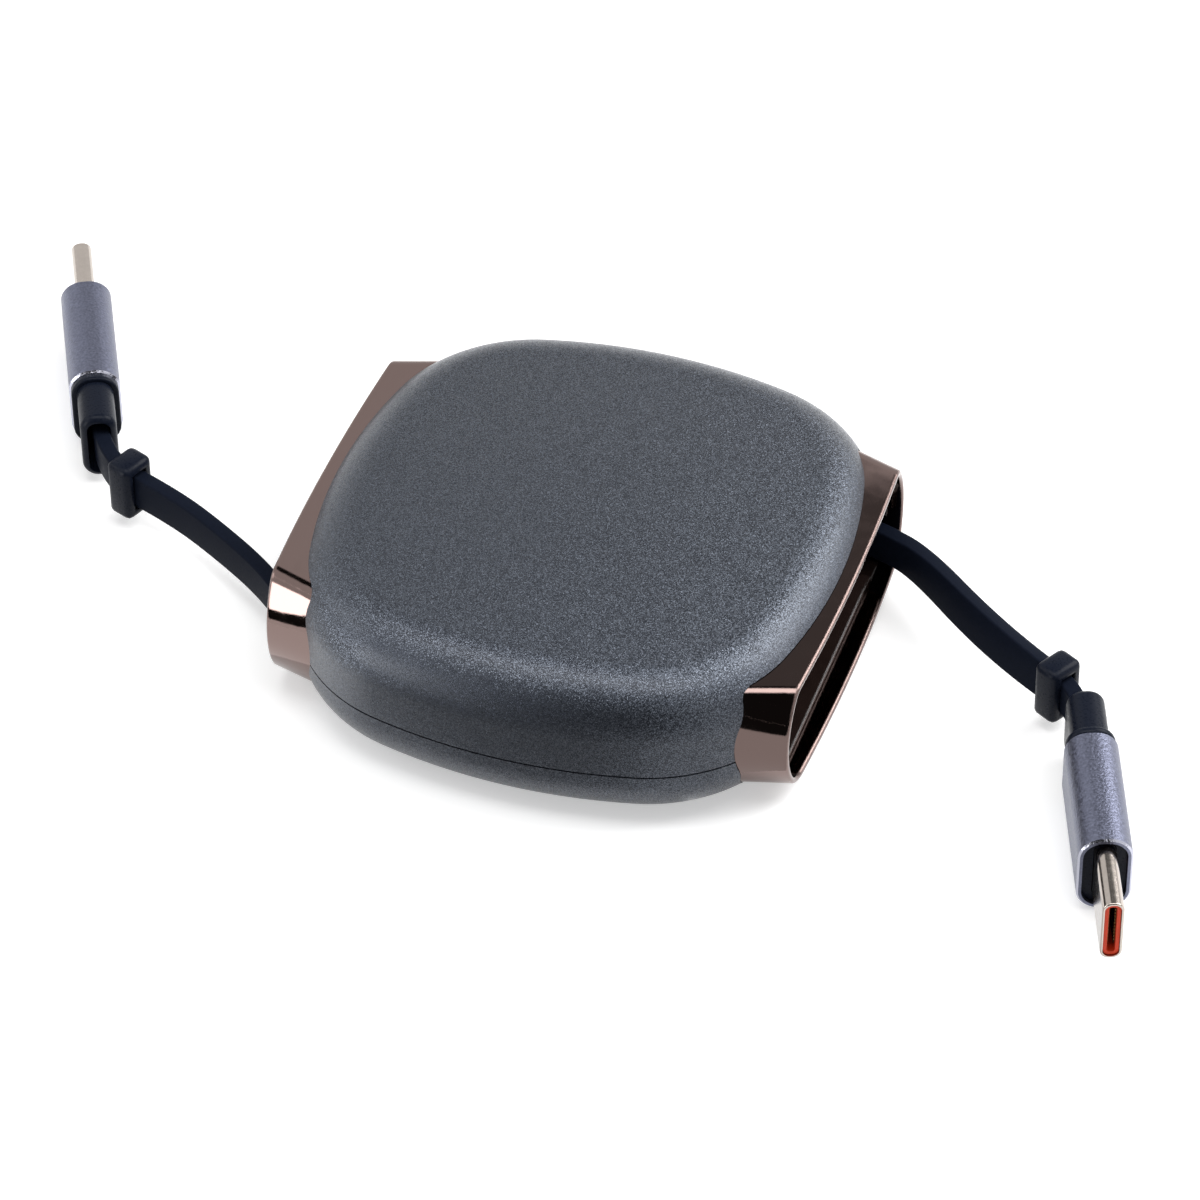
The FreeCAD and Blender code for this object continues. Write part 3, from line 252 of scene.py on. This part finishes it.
def dark_plating(colours):
    # Dark nickel plating on polished ABS: mirror-bright, with the faint long ripple of the moulding below
    plating, tree, shader, place = new_material("dark_plating", {
        "Base Color": colours.plating, "Metallic": 1.0})
    ripple = node(tree, "ShaderNodeTexNoise", {"Vector": place, "Scale": 1 / (7 * MM), "Detail": 1.0})
    # Moulded edges are rounded by under half a millimetre, which draws the bright lines along the rims
    rounded = node(tree, "ShaderNodeBevel", {"Radius": MOULDED_EDGE}, samples=EDGE_SAMPLES)
    bump = node(tree, "ShaderNodeBump", {"Height": ripple.outputs["Fac"], "Distance": 0.02 * MM,
                                         "Strength": 1.0, "Normal": rounded.outputs["Normal"]})
    tree.links.new(bump.outputs["Normal"], shader.inputs["Normal"])
    haze = node(tree, "ShaderNodeTexNoise", {"Vector": place, "Scale": 1 / (2.5 * MM), "Detail": 4.0})
    gloss = node(tree, "ShaderNodeMapRange", {"Value": haze.outputs["Fac"], "From Min": 0.4, "From Max": 0.75,
                                              "To Min": 0.03, "To Max": 0.10})
    tree.links.new(gloss.outputs["Result"], shader.inputs["Roughness"])
    return plating


def elastomer_jacket(colours):
    # Extruded thermoplastic elastomer: black, satin, with a very fine drag grain
    jacket, tree, shader, place = new_material("elastomer_jacket", {"Specular IOR Level": 0.02, "IOR": 1.5})
    speckle(tree, shader, place, grain=0.3 * MM, dark=colours.jacket, light=shaded(colours.jacket, 1.5),
            rough=(0.34, 0.46), depth=0.012 * MM)
    return jacket


def satin_moulding(colours, name, lightness):
    # Injection-moulded polycarbonate blend: black, with the tool's fine spark texture and a satin shine
    moulding, tree, shader, place = new_material(name, {"Specular IOR Level": 0.07, "IOR": 1.55})
    base = shaded(colours.moulding, lightness)
    speckle(tree, shader, place, grain=0.25 * MM, dark=base, light=shaded(base, 1.6), rough=(0.24, 0.38),
            depth=0.01 * MM)
    return moulding


def gloss_cradle(colours):
    # Polished black-brown moulding at the back of the mouths, which mirrors their plated walls
    cradle, tree, shader, place = new_material("gloss_cradle_moulding", {"IOR": 1.55})
    speckle(tree, shader, place, grain=1.5 * MM, dark=colours.cradle, light=shaded(colours.cradle, 1.5),
            rough=(0.10, 0.16))
    rounded = node(tree, "ShaderNodeBevel", {"Radius": MOULDED_EDGE}, samples=EDGE_SAMPLES)
    tree.links.new(rounded.outputs["Normal"], shader.inputs["Normal"])
    return cradle


def blasted_aluminium(colours, side):
    # Bead-blasted, violet-grey anodised aluminium whose chamfers were cut bright afterwards
    sleeve, tree, shader, place = new_material(side + "_blasted_aluminium", {"Metallic": 1.0})
    shade, gloss = speckle(tree, shader, place, grain=0.28 * MM, dark=shaded(colours.sleeve, 0.5),
                           light=shaded(colours.sleeve, 1.5), rough=(0.30, 0.46), depth=0.06 * MM)
    # Only the chamfers face neither along the plug nor across it
    facing = node(tree, "ShaderNodeTexCoord").outputs["Normal"]
    along = node(tree, "ShaderNodeVectorMath", {0: facing, 1: PLUG_FRONTS[side][1]}, operation="DOT_PRODUCT")
    slope = node(tree, "ShaderNodeMath", {0: along.outputs["Value"]}, operation="ABSOLUTE")
    cut = node(tree, "ShaderNodeMath", {0: slope.outputs[0], 1: CHAMFER_SLOPE, 2: CHAMFER_SPREAD},
               operation="COMPARE")
    face = node(tree, "ShaderNodeMix", {"Factor": cut.outputs[0], "A": shade, "B": colours.chamfer},
                data_type="RGBA")
    tree.links.new(face.outputs["Result"], shader.inputs["Base Color"])
    # A cut chamfer is smoother than the blasted faces
    shine = node(tree, "ShaderNodeMix", {"Factor": cut.outputs[0], "A": gloss, "B": 0.2})
    tree.links.new(shine.outputs["Result"], shader.inputs["Roughness"])
    return sleeve


def satin_nickel(colours):
    # Drawn steel with satin nickel plating: warm grey, with faint marks from the drawing
    nickel, tree, shader, place = new_material("satin_nickel", {"Metallic": 1.0})
    speckle(tree, shader, place, grain=0.6 * MM, dark=shaded(colours.nickel, 0.85), light=colours.nickel,
            rough=(0.12, 0.2), depth=0.002 * MM)
    return nickel


def moulded_liner(colours):
    # Glass-filled liquid-crystal polymer: orange, dull, slightly mottled
    liner, tree, shader, place = new_material("moulded_liner", {"Specular IOR Level": 0.2, "IOR": 1.55})
    speckle(tree, shader, place, grain=0.4 * MM, dark=shaded(colours.liner, 0.8), light=colours.liner,
            rough=(0.38, 0.5), depth=0.008 * MM)
    return liner


def plain_metal(name, base, rough, grain):
    # Turned or plated metal, with fine marks of its making
    metal, tree, shader, place = new_material(name, {"Metallic": 1.0})
    speckle(tree, shader, place, grain=grain, dark=shaded(base, 0.85), light=base, rough=rough,
            depth=0.004 * MM)
    return metal


def solder_mask(colours):
    # Green solder mask over glass laminate: thin, glossy
    board, tree, shader, place = new_material("solder_mask", {"IOR": 1.5})
    speckle(tree, shader, place, grain=0.8 * MM, dark=shaded(colours.board, 0.8), light=colours.board,
            rough=(0.2, 0.3), depth=0.004 * MM)
    return board


def coat(material, *names):
    """Gives CAD nodes a finish through their material slots."""
    for name in names:
        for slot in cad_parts[name].material_slots:
            slot.material = material


# New pieces
def finished(name, mesh, material):
    """A mesh as an object at the origin, smooth, with its finish and material slot."""
    made = bpy.data.meshes.new(name)
    mesh.to_mesh(made)
    mesh.free()
    made.materials.append(material)
    made.shade_smooth()
    piece = bpy.data.objects.new(name, made)
    bpy.context.scene.collection.objects.link(piece)
    return piece


def cord_line(points):
    """Points along a lead's smooth line, read from its NURBS spline."""
    curve = bpy.data.curves.new("lead_line", "CURVE")
    curve.dimensions = "3D"
    curve.resolution_u = SPLINE_STEPS
    spline = curve.splines.new("NURBS")
    spline.points.add(len(points) - 1)
    for point, (x, y) in zip(spline.points, points):
        point.co = (x, y, LEAD_HEIGHT, 1.0)
    spline.order_u = 3
    spline.use_endpoint_u = True
    carrier = bpy.data.objects.new("lead_line", curve)
    mesh = bpy.data.meshes.new_from_object(carrier)
    line = [vertex.co.copy() for vertex in mesh.vertices]
    bpy.data.objects.remove(carrier)
    bpy.data.curves.remove(curve)
    bpy.data.meshes.remove(mesh)
    return line


def nearest(line, point):
    """Index of the point of a line that is nearest to a given point."""
    return min(range(len(line)), key=lambda index: (line[index] - point).length)


def standing(point, direction):
    """Frame at a point of a lead: x along it, y across it, z up."""
    ahead = direction.normalized()
    across = Vector((0, 0, 1)).cross(ahead)
    turn = Matrix((ahead, across, Vector((0, 0, 1)))).transposed()
    return Matrix.Translation(point) @ turn.to_4x4()


# Turns a section drawn on the floor so that it stands across a lead
SECTION_UPRIGHT = Matrix(((0, 0, 1), (1, 0, 0), (0, 1, 0))).to_4x4()


def rounded_section(mesh, thickness, height, corner, segments):
    """Rounded rectangle that stands across a lead, at the origin."""
    made = bmesh.ops.create_grid(mesh, x_segments=1, y_segments=1, size=0.5)
    bmesh.ops.scale(mesh, vec=(thickness, height, 1), verts=made["verts"])
    bmesh.ops.bevel(mesh, geom=mesh.verts[:], offset=corner, offset_type="OFFSET", segments=segments,
                    profile=0.5, affect="VERTICES", material=-1)
    bmesh.ops.transform(mesh, matrix=SECTION_UPRIGHT, verts=mesh.verts[:])


def lean_angles(line, side):
    """Lean of the flat cable at each point of a lead: none in the housing, most on the way to the bead."""
    first = nearest(line, Vector(MOUTHS[side]))
    steps = len(line) - 1 - first
    wave = math.pi * LEAN_SHARE / steps
    return [LEANS[side] * math.sin(wave * max(index - first, 0)) for index in range(len(line))]


def flat_tube(line, sizes, leans):
    """Flat cable along a line: a rounded section, drawn out, turned and leant from point to point."""
    mesh = bmesh.new()
    rounded_section(mesh, sizes.thickness, sizes.width, sizes.edge, segments=4)
    frames = []
    for index, point in enumerate(line):
        before = line[max(index - 1, 0)]
        after = line[min(index + 1, len(line) - 1)]
        frames.append(standing(point, after - before) @ Matrix.Rotation(leans[index], 4, "X"))
    bmesh.ops.transform(mesh, matrix=frames[0], verts=mesh.verts[:])
    ring = mesh.edges[:]
    for here, there in zip(frames, frames[1:]):
        grown = bmesh.ops.extrude_edge_only(mesh, edges=ring)["geom"]
        ring = [item for item in grown if isinstance(item, bmesh.types.BMEdge)]
        corners = [item for item in grown if isinstance(item, bmesh.types.BMVert)]
        bmesh.ops.transform(mesh, matrix=there @ here.inverted(), verts=corners)
    bmesh.ops.edgeloop_fill(mesh, edges=ring)
    bmesh.ops.recalc_face_normals(mesh, faces=mesh.faces[:])
    return mesh


def stop_bead(place, sizes):
    """Moulded collar with rounded edges and a hollow round the cable in each end."""
    mesh = bmesh.new()
    made = bmesh.ops.create_cube(mesh, size=1.0)
    bmesh.ops.scale(mesh, vec=(sizes.span, sizes.thickness, sizes.height), verts=made["verts"])
    bmesh.ops.bevel(mesh, geom=mesh.edges[:], offset=sizes.corner, offset_type="OFFSET", segments=3,
                    profile=0.5, affect="EDGES", material=-1)
    insets = ((sizes.rim, 0.0), (sizes.lip, -sizes.lip_depth), (sizes.draft, sizes.lip_depth - sizes.hollow))
    for way in (1, -1):
        end = max(mesh.faces, key=lambda face: face.calc_center_median().x * way)
        for inwards, outwards in insets:
            bmesh.ops.inset_individual(mesh, faces=[end], thickness=inwards, depth=outwards)
    bmesh.ops.transform(mesh, matrix=place, verts=mesh.verts[:])
    bmesh.ops.recalc_face_normals(mesh, faces=mesh.faces[:])
    return mesh


def plug_collar(side, sizes):
    """Rounded step of the plug's moulding that shows behind its sleeve."""
    mesh = bmesh.new()
    rounded_section(mesh, sizes.thickness, sizes.height, sizes.corner, segments=6)
    front, ahead = PLUG_FRONTS[side]
    rear = Vector(front) - Vector(ahead) * SLEEVE_LENGTH
    bmesh.ops.transform(mesh, matrix=standing(rear, Vector(ahead)), verts=mesh.verts[:])
    grown = bmesh.ops.extrude_face_region(mesh, geom=mesh.faces[:])["geom"]
    corners = [item for item in grown if isinstance(item, bmesh.types.BMVert)]
    bmesh.ops.translate(mesh, vec=Vector(ahead) * -sizes.reach, verts=corners)
    ends = [item for item in grown if isinstance(item, bmesh.types.BMFace)]
    rims = [edge for face in ends for edge in face.edges]
    bmesh.ops.bevel(mesh, geom=rims, offset=sizes.rounding, offset_type="OFFSET", segments=3, profile=0.5,
                    affect="EDGES", material=-1)
    bmesh.ops.recalc_face_normals(mesh, faces=mesh.faces[:])
    return mesh


class ReelStep:
    """Shared settings of the operators that build the reel."""
    bl_options = {"REGISTER", "UNDO"}


class REEL_OT_covers(ReelStep, bpy.types.Operator):
    """Paint both covers of the housing"""
    bl_idname = "reel.covers"
    bl_label = "Covers"

    def execute(self, context):
        coat(metallic_paint(context.scene.reel_colours), "top_cover", "bottom_cover")
        return {"FINISHED"}


class REEL_OT_mouths(ReelStep, bpy.types.Operator):
    """Plate the mouths and finish the cradles inside them"""
    bl_idname = "reel.mouths"
    bl_label = "Mouths"

    def execute(self, context):
        colours = context.scene.reel_colours
        coat(dark_plating(colours), "right_bezel", "left_bezel")
        coat(gloss_cradle(colours), "right_cradle", "left_cradle")
        return {"FINISHED"}


class REEL_OT_mechanism(ReelStep, bpy.types.Operator):
    """Finish the spool, spring and lock inside the housing"""
    bl_idname = "reel.mechanism"
    bl_label = "Mechanism"

    def execute(self, context):
        colours = context.scene.reel_colours
        coat(satin_moulding(colours, "reel_moulding", lightness=2.0), "spool", "spool_cap", "ball_guide")
        coat(elastomer_jacket(colours), "wound_cable")
        steel = plain_metal("turned_steel", colours.steel, rough=(0.22, 0.34), grain=0.5 * MM)
        coat(steel, "spindle", "power_spring", "lock_ball")
        return {"FINISHED"}


class REEL_OT_plugs(ReelStep, bpy.types.Operator):
    """Finish the pieces of both plugs and add the collars behind their sleeves"""
    bl_idname = "reel.plugs"
    bl_label = "Plugs"

    def execute(self, context):
        colours = context.scene.reel_colours
        black = satin_moulding(colours, "plug_moulding", lightness=1.0)
        finishes = {
            "core": black,
            "strain_relief": black,
            "shell": satin_nickel(colours),
            "liner": moulded_liner(colours),
            # Gold of the contacts, darkened as painted shade
            "contacts": plain_metal("gold_plating", colours.shaded_gold, rough=(0.14, 0.24), grain=0.4 * MM),
            "board": solder_mask(colours),
        }
        for side in SIDES:
            coat(blasted_aluminium(colours, side), side + "_sleeve")
            for name, material in finishes.items():
                coat(material, "%s_%s" % (side, name))
            collar = finished(side + "_collar", plug_collar(side, context.scene.reel_collar), black)
            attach(collar, side + "_plug")
        return {"FINISHED"}


class REEL_OT_leads(ReelStep, bpy.types.Operator):
    """Lay the flat cables and set the stop beads on them"""
    bl_idname = "reel.leads"
    bl_label = "Leads"

    def execute(self, context):
        scene = context.scene
        jacket = elastomer_jacket(scene.reel_colours)
        black = satin_moulding(scene.reel_colours, "bead_moulding", lightness=1.0)
        for side in SIDES:
            line = cord_line(ROUTES[side])
            split = nearest(line, Vector((*BEADS[side], LEAD_HEIGHT)))
            lead_body, plug_body = side + "_lead", side + "_plug"
            run, rest = line[:split + 1], line[split:]
            cable = finished(side + "_flat_cable", flat_tube(run, scene.reel_cable, lean_angles(run, side)),
                             jacket)
            tail = finished(side + "_flat_tail", flat_tube(rest, scene.reel_cable, [0.0] * len(rest)), jacket)
            place = standing(line[split], line[split + 1] - line[split - 1])
            bead = finished(side + "_bead", stop_bead(place, scene.reel_bead), black)
            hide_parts(side + "_cable")
            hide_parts(side + "_tail")
            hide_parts(side + "_stop")
            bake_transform(cable)
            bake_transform(tail)
            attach(bead, lead_body)
        return {"FINISHED"}


class REEL_OT_studio(ReelStep, bpy.types.Operator):
    """Set up floor, cards, lights and camera"""
    bl_idname = "reel.studio"
    bl_label = "Studio"

    def execute(self, context):
        scene = context.scene
        studio = scene.reel_studio
        scene.view_settings.view_transform = "Standard"
        self.add_camera(scene, studio)
        self.add_world(scene, studio)
        self.add_lamp(scene, "key_softbox", place=(0.0, -0.06, 0.54), width=0.50, depth=0.25,
                      power=studio.key)
        self.add_lamp(scene, "left_softbox", place=(-0.42, -0.10, 0.30), width=0.20, depth=0.20,
                      power=studio.left)
        self.add_lamp(scene, "side_softbox", place=(0.31, 0.25, 0.35), width=0.36, depth=0.36,
                      power=studio.side)
        floor = self.add_card("floor", FLOOR_SIZE, FLOOR_SIZE, Matrix.Translation((0, 0, FLOOR_HEIGHT)))
        floor.data.materials.append(self.floor_paper())
        self.add_flags()
        return {"FINISHED"}

    def add_flags(self):
        """Cards round the object, for the bands of light and dark that its plating and paint mirror."""
        dark = self.card_cloth("black_cloth", level=0.02)
        grey = self.card_cloth("grey_cloth", level=0.2)
        soft = self.card_cloth("soft_cloth", level=0.35)
        white = self.card_cloth("white_card", level=1.0)
        pale = self.card_cloth("pale_card", level=1.6)
        bright = self.card_cloth("lit_card", level=8.0)
        # A flag behind and above keeps the right mouth dark and lets the left one see the white room
        self.add_flag("back_flag", grey, width=0.94, depth=0.60, middle=(0.33, 0.40, 0.667), upright=True)
        # A flag high at the back left leaves only a thin light along the front edges of the mouths
        self.add_flag("over_flag", dark, width=0.50, depth=0.78, middle=(-0.25, 0.51, 1.0))
        # Flags in front, on the floor and standing, give the plating its black upper halves
        self.add_flag("near_flag", soft, width=0.058, depth=0.046, middle=(-0.004, -0.0575, 0.0003), turn=3.0)
        self.add_flag("side_flag", dark, width=0.080, depth=0.020, middle=(0.061, -0.076, 0.0003))
        self.add_flag("far_flag", dark, width=0.40, depth=0.50, middle=(0.165, -0.330, 0.0003))
        self.add_flag("front_flag", dark, width=0.80, depth=1.60, middle=(0.16, -0.62, 0.80), upright=True)
        # A white card keeps the lit floor out of the right mouth's front and the paint beside it
        self.add_flag("right_floor", white, width=0.050, depth=0.042, middle=(0.045, -0.045, 0.0003))
        # Lit cards at the front left, behind a dark strip, for the white band round the left mouth
        slant = -42
        self.add_flag("left_strip", dark, width=0.060, depth=0.078, middle=(-0.078, -0.079, 0.0004),
                      turn=slant)
        self.add_flag("pale_floor", pale, width=0.020, depth=0.024, middle=(-0.0385, -0.0333, 0.0005),
                      turn=slant)
        self.add_flag("lit_floor", bright, width=0.060, depth=0.245, middle=(-0.186, -0.199, 0.0003),
                      turn=slant)
        self.add_flag("lit_wall", bright, width=0.130, depth=0.170, middle=(-0.272, -0.288, 0.085),
                      turn=slant, upright=True)

    def add_camera(self, scene, studio):
        camera = bpy.data.cameras.new("camera")
        camera.lens = studio.lens
        camera.sensor_width = SENSOR_WIDTH
        camera.clip_start = NEAR_CLIP
        stand = bpy.data.objects.new("camera", camera)
        turn = Euler((math.radians(90 - CAMERA_ELEVATION), 0, math.radians(CAMERA_AZIMUTH))).to_matrix()
        turn = turn @ Matrix.Rotation(math.radians(CAMERA_ROLL), 3, "Z")
        stand.matrix_world = Matrix.Translation(CAMERA_PLACE) @ turn.to_4x4()
        scene.collection.objects.link(stand)
        scene.camera = stand

    def seen(self, tree):
        """One for camera, glossy and transmission rays, nought for the light that falls on the object."""
        path = node(tree, "ShaderNodeLightPath")
        mirrored = node(tree, "ShaderNodeMath", {0: path.outputs["Is Camera Ray"],
                                                 1: path.outputs["Is Glossy Ray"]}, operation="ADD")
        both = node(tree, "ShaderNodeMath", {0: mirrored.outputs[0], 1: path.outputs["Is Transmission Ray"]},
                    operation="ADD", use_clamp=True)
        return both.outputs[0]

    def add_world(self, scene, studio):
        world = bpy.data.worlds.new("white_room")
        scene.world = world
        world.use_nodes = True
        tree = world.node_tree
        tree.nodes.clear()
        level = node(tree, "ShaderNodeMapRange", {"Value": self.seen(tree), "To Min": studio.fill,
                                                  "To Max": 1.0})
        glow = node(tree, "ShaderNodeBackground", {"Color": WHITE, "Strength": level.outputs["Result"]})
        node(tree, "ShaderNodeOutputWorld", {"Surface": glow.outputs[0]})

    def add_lamp(self, scene, name, place, width, depth, power):
        """A softbox that points at the origin."""
        lamp = bpy.data.lights.new(name, "AREA")
        lamp.shape = "RECTANGLE"
        lamp.size = width
        lamp.size_y = depth
        lamp.energy = power
        stand = bpy.data.objects.new(name, lamp)
        stand.location = place
        stand.rotation_euler = Vector(place).to_track_quat("Z", "Y").to_euler()
        scene.collection.objects.link(stand)

    def add_card(self, name, width, depth, place):
        """A flat sheet of the stage."""
        mesh = bmesh.new()
        made = bmesh.ops.create_grid(mesh, x_segments=1, y_segments=1, size=0.5)
        bmesh.ops.scale(mesh, vec=(width, depth, 1), verts=made["verts"])
        bmesh.ops.transform(mesh, matrix=place, verts=mesh.verts[:])
        card = bpy.data.meshes.new(name)
        mesh.to_mesh(card)
        mesh.free()
        stand = bpy.data.objects.new(name, card)
        bpy.context.scene.collection.objects.link(stand)
        return stand

    def add_flag(self, name, cloth, width, depth, middle, turn=0.0, upright=False):
        """A card that only reflections see, so it casts no shadow and lights no matt surface."""
        place = Matrix.Translation(middle) @ Matrix.Rotation(math.radians(turn), 4, "Z")
        if upright:
            place = place @ Matrix.Rotation(math.radians(90), 4, "X")
        card = self.add_card(name, width, depth, place)
        card.data.materials.append(cloth)
        card.visible_camera = False
        card.visible_diffuse = False
        card.visible_shadow = False

    def card_cloth(self, name, level):
        # A studio card of one even brightness, where 1 is white
        cloth = bpy.data.materials.new(name)
        cloth.use_nodes = True
        tree = cloth.node_tree
        tree.nodes.clear()
        glow = node(tree, "ShaderNodeEmission", {"Color": WHITE, "Strength": level})
        node(tree, "ShaderNodeOutputMaterial", {"Surface": glow.outputs[0]})
        return cloth

    def floor_paper(self):
        # White paper sweep: matt, and lifted to white where the camera or a mirror sees it, so shadows stay
        paper = bpy.data.materials.new("white_paper")
        paper.use_nodes = True
        tree = paper.node_tree
        tree.nodes.clear()
        matt = node(tree, "ShaderNodeBsdfDiffuse", {"Color": linear("E6E6E6")})
        # Away from the object the sheet is lifted all the way, so that its end doesn't show
        place = node(tree, "ShaderNodeTexCoord").outputs["Object"]
        far = node(tree, "ShaderNodeVectorMath", {0: place}, operation="LENGTH")
        level = node(tree, "ShaderNodeMapRange", {"Value": far.outputs["Value"], "From Min": LIFT_START,
                                                  "From Max": LIFT_END, "To Min": NEAR_LIFT, "To Max": 1.0})
        lift = node(tree, "ShaderNodeMath", {0: self.seen(tree), 1: level.outputs["Result"]},
                    operation="MULTIPLY")
        glow = node(tree, "ShaderNodeEmission", {"Color": WHITE, "Strength": lift.outputs[0]})
        both = node(tree, "ShaderNodeAddShader", {0: matt.outputs[0], 1: glow.outputs[0]})
        node(tree, "ShaderNodeOutputMaterial", {"Surface": both.outputs[0]})
        return paper


STEPS = (REEL_OT_covers, REEL_OT_mouths, REEL_OT_mechanism, REEL_OT_plugs, REEL_OT_leads, REEL_OT_studio)
GROUPS = (("reel_colours", ReelColours), ("reel_cable", CableSizes), ("reel_collar", CollarSizes),
          ("reel_bead", BeadSizes), ("reel_studio", StudioSettings))


class REEL_PT_panel(bpy.types.Panel):
    """Lists the steps that dress the reel"""
    bl_idname = "REEL_PT_panel"
    bl_label = "Retractable cable"
    bl_space_type = "VIEW_3D"
    bl_region_type = "UI"
    bl_category = "Cable reel"

    def draw(self, context):
        for step in STEPS:
            self.layout.operator(step.bl_idname)


def register():
    for attribute, group in GROUPS:
        bpy.utils.register_class(group)
        setattr(bpy.types.Scene, attribute, bpy.props.PointerProperty(type=group))
    for step in STEPS:
        bpy.utils.register_class(step)
    bpy.utils.register_class(REEL_PT_panel)


def unregister():
    bpy.utils.unregister_class(REEL_PT_panel)
    for step in reversed(STEPS):
        bpy.utils.unregister_class(step)
    for attribute, group in reversed(GROUPS):
        delattr(bpy.types.Scene, attribute)
        bpy.utils.unregister_class(group)


def main():
    register()
    bpy.ops.reel.covers()
    bpy.ops.reel.mouths()
    bpy.ops.reel.mechanism()
    bpy.ops.reel.plugs()
    bpy.ops.reel.leads()
    bpy.ops.reel.studio()


if __name__ == "__main__":
    main()
